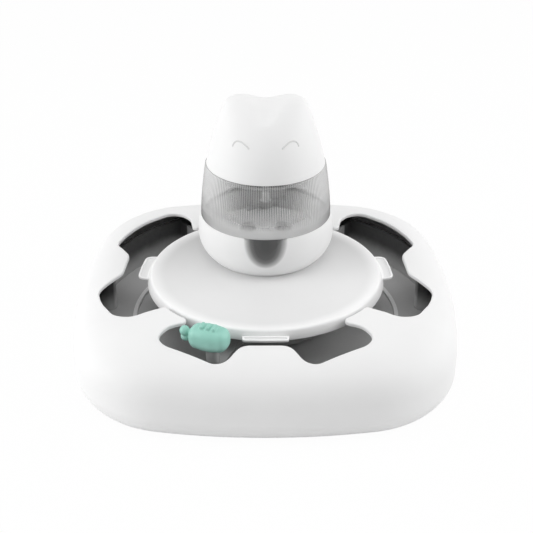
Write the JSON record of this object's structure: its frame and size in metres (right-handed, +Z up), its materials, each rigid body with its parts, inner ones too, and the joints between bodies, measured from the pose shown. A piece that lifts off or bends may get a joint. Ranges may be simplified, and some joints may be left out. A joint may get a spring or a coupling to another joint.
{
  "type": "cat_treat_dispenser_toy",
  "caption": "Cat treat dispenser toy: white floor base with paw openings, mint teaser on a swinging arm, clear hopper with a cat-head lid that drops treats onto a plate",
  "frame": {"origin": "middle of the base on the ground", "axes": "+Z up, front at -Y, +X to the right of a person facing the front"},
  "size_m": [0.2818, 0.2818, 0.1806],
  "materials": {
    "white_plastic": "satin moulded",
    "charcoal_plastic": "matte moulded",
    "grey_plastic": "satin moulded",
    "rail_plastic": "satin moulded",
    "slide_plastic": "natural acetal",
    "clear_plastic": "clear moulded",
    "mint_rubber": "soft satin",
    "foot_rubber": "matte",
    "seal_rubber": "matte",
    "bush_brass": "turned",
    "plated_steel": "zinc plated"
  },
  "bodies": {
    "base": {"base_shell": "white_plastic", "base_pan": "white_plastic", "rubber_feet": "foot_rubber", "pan_screws": "plated_steel", "channel_bowl": "charcoal_plastic", "track_rail": "rail_plastic", "spindle": "plated_steel", "thrust_washer": "slide_plastic", "spindle_clip": "plated_steel"},
    "teaser_arm": {"arm_rotor": "charcoal_plastic", "rotor_bush": "bush_brass", "drive_gear": "slide_plastic", "gear_screws": "plated_steel", "roller_axle": "plated_steel", "teaser_stem": "clear_plastic", "teaser_toy": "mint_rubber"},
    "roller": {"arm_roller": "slide_plastic"},
    "feeder": {"treat_plate": "white_plastic", "shaft_bush": "bush_brass", "dispenser_cup": "white_plastic", "cup_screws": "plated_steel", "chute": "charcoal_plastic", "dose_deck": "charcoal_plastic", "hopper_floor": "clear_plastic", "hopper": "clear_plastic"},
    "doser": {"dose_disc": "grey_plastic", "dose_shaft": "plated_steel", "pinion": "slide_plastic", "agitator": "slide_plastic"},
    "head": {"head_lid": "white_plastic", "lid_collar": "white_plastic", "lid_seal": "seal_rubber"}
  },
  "joints": [
    {"name": "arm_swing", "type": "hinge", "parent": "base", "child": "teaser_arm", "pos_m": [0, 0, 0.03], "axis": [0, 0, 1], "range_deg": [-5, 4]},
    {"name": "roller_spin", "type": "hinge", "parent": "teaser_arm", "child": "roller", "pos_m": [-0.03386, -0.09303, 0.025], "axis": [-0.342, -0.9397, 0], "range_deg": [-90, 110]},
    {"name": "plate_lift", "type": "slide", "parent": "base", "child": "feeder", "axis": [0, 0, 1], "range_m": [0, 0.07]},
    {"name": "dose_turn", "type": "hinge", "parent": "feeder", "child": "doser", "pos_m": [0, 0.036, 0.08], "axis": [0, 0, 1], "range_deg": [-12, 15]},
    {"name": "lid_lift", "type": "slide", "parent": "feeder", "child": "head", "axis": [0, 0, 1], "range_m": [0, 0.06]}
  ],
  "couplings": [
    {"joint": "dose_turn", "follows": "arm_swing", "ratio": -3},
    {"joint": "roller_spin", "follows": "arm_swing", "ratio": -19.8}
  ]
}
